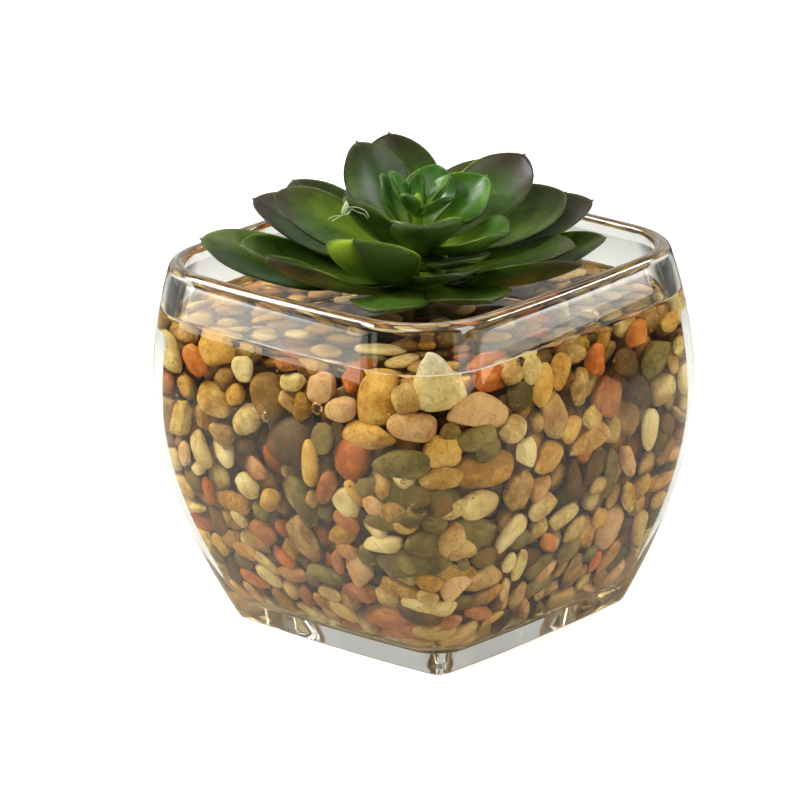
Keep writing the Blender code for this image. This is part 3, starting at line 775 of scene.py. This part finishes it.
whorls = dict(
    leaves_outer=(9.6, (
        (176, 54, 98.5, 24, 26, 20, -14, 0.5), (190, 45, 100, 25, 34, 38, -6, 0.3),
        (213, 45, 101, 22, 36, 36, 0, 0.9), (252, 40, 91, 20, 12, 16, 0, 0.4),
        (293, 40, 92, 21, 14, 18, 0, 0.4), (328, 45, 96.5, 24, 24, 28, -18, 0.8),
        (358, 46, 96, 19, 24, 26, 10, 0.7), (42, 49, 96, 21, 16, 24, 0, 0.6),
        (84, 50, 97, 22, 16, 24, 0, 0.6), (128, 49, 102.5, 21, 26, 24, -8, 0.8),
    )),
    leaves_lower=(8.4, (
        (160, 43, 105, 23, 12, 26, -11, 1), (236, 30, 105, 28, 72, 42, 6, 0.1),
        (285, 32, 97, 18, 14, 20, 0, 0.4), (340, 40, 97.5, 22, 14, 22, 4, 0.7),
        (14, 45, 102, 23, 12, 26, 10, 0.9), (58, 44, 101.5, 23, 14, 24, 0, 0.8),
        (103, 44, 104, 22, 12, 24, 0, 0.8),
    )),
    leaves_middle=(7.2, (
        (170, 36, 108.5, 23, 24, 28, -14, 0.9), (18, 39, 104, 24, 20, 28, 13, 0.7),
        (60, 36, 108, 21, 24, 26, 0, 0.8), (103, 26, 117.5, 22, 30, 26, 0, 0.9),
        (301, 26, 98, 16, 22, 24, 0, 0.3),
    )),
    leaves_upper=(5.8, (
        (31, 32, 113, 22, 32, 28, 16, 1), (130, 22, 118, 21, 30, 26, 0, 0.8),
        (212, 21, 111.5, 19, 40, 42, 0, 0.4), (272, 19, 106, 24, 36, 56, 0, 0.2),
        (322, 27, 103, 21, 40, 50, 8, 0.2),
    )),
    leaves_inner=(4.4, (
        (23, 19, 110.5, 20, 44, 52, 20, 0.2), (68, 14, 112.5, 15, 36, 44, 0, 0.1),
        (150, 10, 113, 9, 24, 44, 0, 0.1),
    )),
)
heart = dict(
    stalk=1.5 * mm, taper=(1, 1, 0.8, 0.3),
    neck=3 * mm,  # from its foot to where it narrows
    bud=1.5 * mm, top=109.0 * mm,
    root=0.2 * mm,  # how far out and up its leaves start
    rise=3.2 * mm,
    leaves=(
        (150, 7.5, 114, 7, 30, 50, 0, 0.1), (20, 8.5, 112.5, 6.5, 20, 50, 0, 0.1),
        (320, 10.5, 109.5, 8, 20, 50, 0, 0.1), (235, 6, 110.5, 6, 30, 50, 0, 0.1),
        (85, 3.5, 113.6, 4.5, 20, 55, 0, 0.3),
    ),
)


def breadth(s):  # share of the full width at the share s of the length
    growing = np.sin(pi / 2 * np.clip(s / leaf["widest"], 0, 1)) ** leaf["rootCurve"]
    closing = np.clip((s - leaf["widest"]) / (1 - leaf["widest"]), 0, 1)
    return (leaf["rootShare"] + (1 - leaf["rootShare"]) * growing) * (1 - closing**2) ** leaf["point"]


def leafRings(rng, rootRadius, rootHeight, shape):
    turn, reach, top, width, bend, cup, roll, brown = shape
    bend, cup, roll = (radians(angle) for angle in (bend, cup, roll))
    facing = radians(turn - 45)
    out = np.array((cos(facing), sin(facing), 0))
    level = np.array((-sin(facing), cos(facing), 0))
    lift = np.array((0, 0, 1.0))
    # s runs along the leaf, and c from edge to edge over the top and back underneath
    s = 1 - (1 - np.linspace(0, 1, leaf["rows"])) ** leaf["rowCrowding"]
    s = np.concatenate([s[:-1], leaf["spikeRows"]])
    c = np.sin(np.linspace(-1, 1, leaf["columns"]) * pi / 2)
    c = np.concatenate([c, c[-2:0:-1]])
    side = np.concatenate([np.ones(leaf["columns"]), -np.ones(leaf["columns"] - 2)])
    s, c, side = s[:, None, None], c[None, :, None], side[None, :, None]
    spikeHalf, spikeLength = (size * width / 24 for size in leaf["spike"])
    # its middle line is an arc from the root to the tip
    rise, run = top * mm - rootHeight, reach * mm - rootRadius
    start = atan2(rise, run) - bend / 2
    radius = hypot(rise, run) / (2 * sin(bend / 2))
    angle = start + bend * np.minimum(s, 1)
    along = out * np.cos(angle) + lift * np.sin(angle)
    centre = out * (rootRadius + radius * (np.sin(angle) - sin(start)))
    centre = centre + lift * (rootHeight + radius * (cos(start) - np.cos(angle)))
    centre = centre + along * np.maximum(s - 1, 0) * spikeLength
    leanBy = roll * np.minimum(s / leaf["rolledBy"], 1)
    up = -np.cross(level, along)
    across = level * np.cos(leanBy) + up * np.sin(leanBy)
    up = up * np.cos(leanBy) - level * np.sin(leanBy)
    # its cross-section is an arc too, cupped upwards
    spike = spikeHalf * np.clip(2 - s, 0.15, 1)
    blade = np.maximum(width * mm / 2 * breadth(s), spikeHalf)
    arc = np.where(s > 1, spike, blade) / cup
    s = np.minimum(s, 1)
    curl = cup * c
    normal = up * np.cos(curl) - across * np.sin(curl)
    surface = across * (arc * np.sin(curl)) + up * (arc * (1 - np.cos(curl)))
    thick = leaf["thickness"] * (1 - leaf["thinning"] * s) * (1 - leaf["edgeThinning"] * c**2)
    thick = np.minimum(thick, arc * cup * 1.3) * (1 - np.abs(c) ** 5) ** 0.5
    phase = rng.uniform(0, 6.3, 3)
    wave = np.sin(s * 9 + phase[0] + 2 * c) * c**2
    wave = wave + 0.5 * np.sin(s * 5 + phase[1]) * np.sin(c * 2.5 + phase[2])
    grown = np.clip(s * 3, 0, 1) * np.clip((1 - s) * 8, 0, 1)  # no wave at either end
    spots = centre + surface + normal * (side * thick / 2 + wave * leaf["wave"] * grown)
    rows, count = spots.shape[:2]
    marks = {
        "along": s, "across": c, "under": side < 0, "brown": brown, "tone": rng.uniform(),
        "yellow": leaf["yellow"].get(turn, 0)}
    marks = {key: np.broadcast_to(value, (rows, count, 1)).ravel() for key, value in marks.items()}
    return spots.reshape(-1, 3), tubeFaces(rows, count), marks


def roundRod(radii, heights):  # an upright one in the middle
    count = len(heights)
    return rod(np.outer(heights, (0, 0, 1)), radii, [(1, 0, 0)] * count, [(0, 1, 0)] * count, 24)


def plantPiece(name, node, slot, finish, core, blades):
    points, faces = joined([core] + [blade[:2] for blade in blades])
    bare = np.zeros(len(core[0]))
    marks = {key: np.concatenate([bare] + [blade[2][key] for blade in blades]) for key in blades[0][2]}
    addPiece(name, points, faces, finish, node, slot, marks)


def makePlant():
    rng = np.random.default_rng(leaf["seed"])
    old = leafFinish("old leaf plastic", *leaf["oldTones"])
    new = leafFinish("new leaf plastic", *leaf["newTones"])
    low = leaf["lowestCollar"]
    inward, downward = leaf["collarEdge"]
    for node, (radius, shapes) in whorls.items():
        radius = radius * mm
        high = low + leaf["collarHeight"]
        radii = (radius - inward, radius, radius, radius - inward)
        collar = roundRod(radii, (low, low + downward, high - downward, high))
        root = radius - leaf["rootDepth"]
        blades = [leafRings(rng, root, (low + high) / 2, shape) for shape in shapes]
        young = node == "leaves_inner"
        slot = "leaf_plastic_fresh" if young else "leaf_plastic_dark"
        plantPiece(node + "_moulded", node, slot, new if young else old, collar, blades)
        low = high + resin["gap"]
    radii = [heart["stalk"] * share for share in heart["taper"]]
    stalk = roundRod(radii, (low, low + heart["neck"], heart["top"] - heart["bud"], heart["top"]))
    blades = [leafRings(rng, heart["root"], low + heart["rise"], shape) for shape in heart["leaves"]]
    plantPiece("heart_moulded", "leaf_heart", "leaf_plastic_fresh", new, stalk, blades)
    heights = (stem["foot"], stem["foot"] + stem["bevel"], low - stem["bevel"], low - resin["gap"])
    addPiece("stem_moulded", *roundRod(stem["radii"], heights), stemFinish(), "plant_stem", "stem_plastic")


def leafFinish(name, deep, mid, fresh):
    sheet = newFinish(name)
    keys = ("along", "across", "under", "brown", "tone", "yellow")
    along, across, under, brown, tone, yellow = (sheet.mark(key) for key in keys)
    edge = abs(across)
    cloud = sheet.cloud(70, 3, 0.55, shift=tone * 5)
    mottle = sheet.cloud(330, 4, 0.6, shift=tone * 3)
    fine = sheet.cloud(1500, 3, 0.6, shift=tone * 5)
    patches = ((cloud - 0.5) * 2.2 + tone * 0.5 + 0.25).rise(0.0, 1.0)
    rootward = (1 - along).rise(0.35, 0.95) * 0.75 + (cloud - 0.45).rise(0.0, 0.3) * 0.35
    paintedLitSide = 1 - (across + (cloud - 0.5) * 0.6).rise(-0.30, 0.12)
    tipward = along + edge * 0.10 + (cloud - 0.5) * 0.5 + (mottle - 0.5) * 0.25
    coloured = sheet.layered(sheet.blend(patches, paint(deep), paint(mid)), (
        (rootward, fresh),
        (under * 0.35, "51602c"),
        ((mottle - 0.5) * 1.2 + 0.3, deep),
        # painted light and shadow: the left half of the listed leaves is painted light green as if lit
        # through from behind, and the right half darker as painted shadow
        (yellow * paintedLitSide * 0.85, "8fa62c"),
        (yellow * (1 - paintedLitSide) * 0.15, "1d3010"),
        (tipward.rise(0.60, 0.98) * brown * 0.95, "35241d"),
        (edge.rise(0.84, 0.97) * (brown * 0.2 + 0.65), "26261a"),
        (edge.rise(0.982, 0.997) * cloud.rise(0.50, 0.62) * 0.3, "8d8a68"),  # worn edge
        (fine.rise(0.66, 0.76) * 0.25, "8f927c"),  # dust, partly also a painted grey sheen standing in for reflected light
    ))
    return sheet.plain({
        "Base Color": coloured,
        "Roughness": 0.22 + fine * 0.04 + mottle * 0.10, "Specular IOR Level": 0.2,
        "Subsurface Weight": 0.6, "Subsurface Radius": (0.8, 1.0, 0.15), "Subsurface Scale": 3.0 * mm,
        "Normal": sheet.bump(cloud * 0.9 + mottle * 0.35 + fine * 0.05, 0.35, 0.5 * mm)})


def stemFinish():
    sheet = newFinish("stem plastic")
    cloud = sheet.cloud(400, 3, 0.6)
    coloured = sheet.blend(cloud, *map(paint, stem["tones"]))
    return sheet.plain({
        "Base Color": coloured, "Roughness": 0.5, "Normal": sheet.bump(cloud, 0.3, 0.2 * mm)})


# air bubbles in the resin: those seen in the photograph, and small ones all round
bubbles = dict(
    seed=4,
    seen=(  # column, row and width in pixels
        (326, 406, 14), (276, 414, 12), (266, 347, 5), (419, 505, 19), (406, 478, 5), (311, 417, 4),
        (307, 421, 3), (604, 360, 4), (675, 351, 5), (509, 403, 4), (629, 474, 4), (636, 484, 5),
        (625, 479, 3), (637, 386, 4), (628, 392, 4), (620, 399, 3), (641, 379, 3), (667, 412, 4),
        (449, 512, 3), (634, 451, 4), (193, 372, 3), (189, 381, 4), (186, 393, 3), (187, 400, 4),
        (651, 447, 3), (595, 432, 3), (560, 540, 4), (563, 546, 3),
    ),
    reach=0.6 * mm,  # how far they may stand out of the bed
    small=200, radius=(0.14 * mm, 0.40 * mm), heights=(14 * mm, 79 * mm),
    clearance=0.08 * mm,  # resin between a small one and the glass
    clear=((1, 1, 1, 1), 0.69, (1, 1, 1, 1), (1, 1, 1, 1)),
)


def makeBubbles():
    rng = np.random.default_rng(bubbles["seed"])
    parts = []
    ball, faces = icoPoints(3)
    for column, row, width in bubbles["seen"]:
        radius = width / 2 / camera["scale"] * mm
        centre = stoneInPhoto(column, row, width, width, 0)[0]
        outside = min(radius * 0.9, bubbles["reach"] - radius)
        centre = centre + outwardAt(centre) * (bedDepth(centre[None])[0] + outside)
        parts.append((centre + ball * radius, faces))
    ball, faces = icoPoints(2)
    for _ in range(bubbles["small"]):
        radius = rng.uniform(*bubbles["radius"])
        z = rng.uniform(*bubbles["heights"])
        edge = ring(z, wallInset(z, vase["floor"], resin["gap"] + radius + bubbles["clearance"]))
        parts.append((edge[rng.integers(len(edge))] + ball * radius, faces))
    finish = clearFinish("air in the resin", bubbles["clear"])
    addPiece("bubbles", *joined(parts), finish, "resin_water", "clear_resin")


# hot glue: threads and a tuft drawn out between two leaves, as pixels of the photograph
glue = dict(
    threads=(
        ((328, 219), (334, 216), (341, 215.5), (349, 214)),
        ((332, 221), (338, 217.5), (345, 214), (350, 209)),
        ((346, 208), (352, 206.5), (360, 208), (366, 211), (369, 217)),
        ((350, 208), (357, 212), (364, 214), (368, 219)),
        ((347, 215), (351, 210), (355, 206.5)),
    ),
    radius=0.10 * mm, steps=14, tuft=((344.5, 214), (345.5, 209), (347, 204), (346.5, 198)),
    tuftRadii=(1.0 * mm, 0.9 * mm, 0.6 * mm, 0.1 * mm),
    tuftStretch=(0.9, 0.9, 1),  # along x, y and z
    off=0.7 * mm,  # how far before the leaf they hang
    depth=1.5 * mm,  # how much one of them may reach back
    tones=("cfd8b4", "8fa468"),
)


def bent(points, radii):  # a rod through the points
    ways = unit(np.gradient(points, axis=0))
    side = unit(np.cross(ways, (0.3, 0.2, 0.9)))
    return rod(points, radii, side, np.cross(ways, side), 8)


def leafTree():
    parts = []
    for node in whorls:
        mesh = bpy.data.objects[node + "_moulded"].data
        points = np.array([v.co[:] for v in mesh.vertices])
        parts.append((points, [face.vertices[:] for face in mesh.polygons]))
    points, faces = joined(parts)
    return BVHTree.FromPolygons(points.tolist(), faces)


def beforeLeaves(leaves, strand):  # points just before the leaf behind it
    sights = [sightLine(*knot)[:2] for knot in strand]
    hits = [leaves.ray_cast(Vector(place), Vector(way))[3] for place, way in sights]
    reaches = [hit or camera["distance"] for hit in hits]
    furthest = min(reaches) + glue["depth"]
    return np.array([place + way * (min(reach, furthest) - glue["off"])
                     for (place, way), reach in zip(sights, reaches)])


def makeGlue():
    leaves = leafTree()
    count = glue["steps"]
    parts = []
    for thread in glue["threads"]:
        knots = beforeLeaves(leaves, thread)
        share = np.linspace(0, len(knots) - 1, count)
        spots = np.stack([np.interp(share, range(len(knots)), knots[:, k]) for k in range(3)], 1)
        spots[1:-1] = (spots[:-2] + 2 * spots[1:-1] + spots[2:]) / 4
        parts.append(bent(spots, np.full(count, glue["radius"])))
    knots = beforeLeaves(leaves, glue["tuft"])
    knots = knots[0] + (knots - knots[0]) * glue["tuftStretch"]
    parts.append(bent(knots, glue["tuftRadii"]))
    addPiece("glue", *joined(parts), glueFinish(), "leaves_middle", "leaf_plastic_dark")


def glueFinish():
    sheet = newFinish("hot glue")
    return sheet.plain({
        "Base Color": sheet.blend(sheet.cloud(600, 3, 0.6), *map(paint, glue["tones"])),
        "Roughness": 0.2,
        "Subsurface Weight": 0.5, "Subsurface Radius": (1.0, 1.0, 0.6), "Subsurface Scale": 1.0 * mm})


# studio: soft boxes and cards round a pale floor, a dim room, and a pale backdrop behind the vase.
# Floor and backdrop are white only as the camera sees them bare, as in a cut-out photograph
studio = dict(
    floor=("dcdcda", "d0d0ce"), floorSize=12, floorDrop=0.2 * mm,
    floorGlow=0.58,  # as the camera sees it
    tableEdge=(0.28, 0.42),  # the glass shows the floor dim from here on
    beyond="4c4c4a", room=0.15, backdrop=0.60, backdropSeen=1.0,
    backdropSides=(0.25, 0.62),  # where it begins, and where it is full
    backdropTop=(0.45, 0.75),  # where it ends, and where it is gone
    lightPaths=dict(
        caustics_reflective=False, caustics_refractive=False, use_denoising=True,
        max_bounces=48, transmission_bounces=32, glossy_bounces=40, transparent_max_bounces=32,
    ),
    boxes=(  # name, turn from the camera to the left, height, distance, width, depth, strength
        ("leftBox", 108, 41, 1.1, 0.45, 0.38, 8.0),
        ("leftLamp", 84, 40, 1.2, 0.12, 0.12, 8.0),
        ("frontBox", 28, 52, 1.3, 0.5, 0.5, 4.2),
        ("fillBox", -52, 32, 1.5, 0.5, 0.8, 8.8),
        ("rightStrip", -104, 37, 1.1, 0.5, 0.12, 3.0),
        ("topBox", -165, 62, 1.3, 1.0, 0.7, 5),
        ("leftCard", 85.5, 2.8, 0.8, 0.33, 0.13, 0.8),
        ("rightCard", -80, 3.8, 0.8, 0.52, 0.105, 1.1),
        ("frontCard", -44, 7, 0.8, 0.28, 0.155, 0.8),
    ),
)


def setFloor():
    bpy.ops.mesh.primitive_plane_add(size=studio["floorSize"], location=(0, 0, -studio["floorDrop"]))
    floor = bpy.context.object
    floor.name = "floor"
    sheet = newFinish("pale floor")
    coloured = sheet.blend(sheet.cloud(6, 2, 0.5) * 0.04, *map(paint, studio["floor"]))
    bare = sheet.add("LightPath").of("Is Camera Ray")
    place = sheet.add("TexCoord").of("Object")
    far = sheet.add("VectorMath", {"Vector": place}, operation="LENGTH")
    dim = far.rise(*studio["tableEdge"]) * (1 - bare)
    floor.data.materials.append(sheet.plain({
        "Base Color": sheet.blend(dim, coloured, paint(studio["beyond"])),
        "Roughness": 0.9, "Specular IOR Level": 0.1,
        "Emission Color": sheet.blend(bare, (0, 0, 0, 1), (1, 1, 1, 1)),
        "Emission Strength": studio["floorGlow"]}))


def setBackdrop():
    world = bpy.data.worlds.new("studio")
    bpy.context.scene.world = world
    sheet = Sheet(world)
    place = sheet.add("TexCoord").of("Generated")
    parts = sheet.add("SeparateXYZ", {"Vector": place})
    turn = radians(camera["turn"])
    behind = parts.of("X") * sin(turn) + parts.of("Y") * cos(turn)
    white = behind.rise(*studio["backdropSides"]) * (1 - parts.of("Z").rise(*studio["backdropTop"]))
    bare = sheet.add("LightPath").of("Is Camera Ray")
    backdrop = studio["backdrop"] + (studio["backdropSeen"] - studio["backdrop"]) * bare
    strength = studio["room"] + (backdrop - studio["room"]) * white
    light = sheet.add("Background", {"Color": (1, 1, 1, 1), "Strength": strength})
    sheet.add("OutputWorld", {"Surface": light})


def setBoxes():
    for name, turn, height, distance, width, depth, strength in studio["boxes"]:
        data = bpy.data.lights.new(name, "AREA")
        data.shape = "RECTANGLE"
        data.size, data.size_y = width, depth
        data.energy = strength
        holder = placed(name, data)
        around, above = radians(camera["turn"] + 180 + turn), radians(height)
        level = cos(above)
        way = Vector((sin(around) * level, cos(around) * level, sin(above)))
        holder.location = way * distance + Vector((0, 0, camera["aimHeight"]))
        holder.rotation_euler = way.to_track_quat("Z", "Y").to_euler()


def setRender():
    bpy.context.scene.view_settings.view_transform = "Standard"
    for name, value in studio["lightPaths"].items():
        setattr(bpy.context.scene.cycles, name, value)


stages = (
    setCamera, setRender, setFloor, setBackdrop, setBoxes,
    makeVase, makeResin, makePebbles, makePlant, makeBubbles, makeGlue,
)
for stage in stages:
    stage()
    print(stage.__name__, "done")
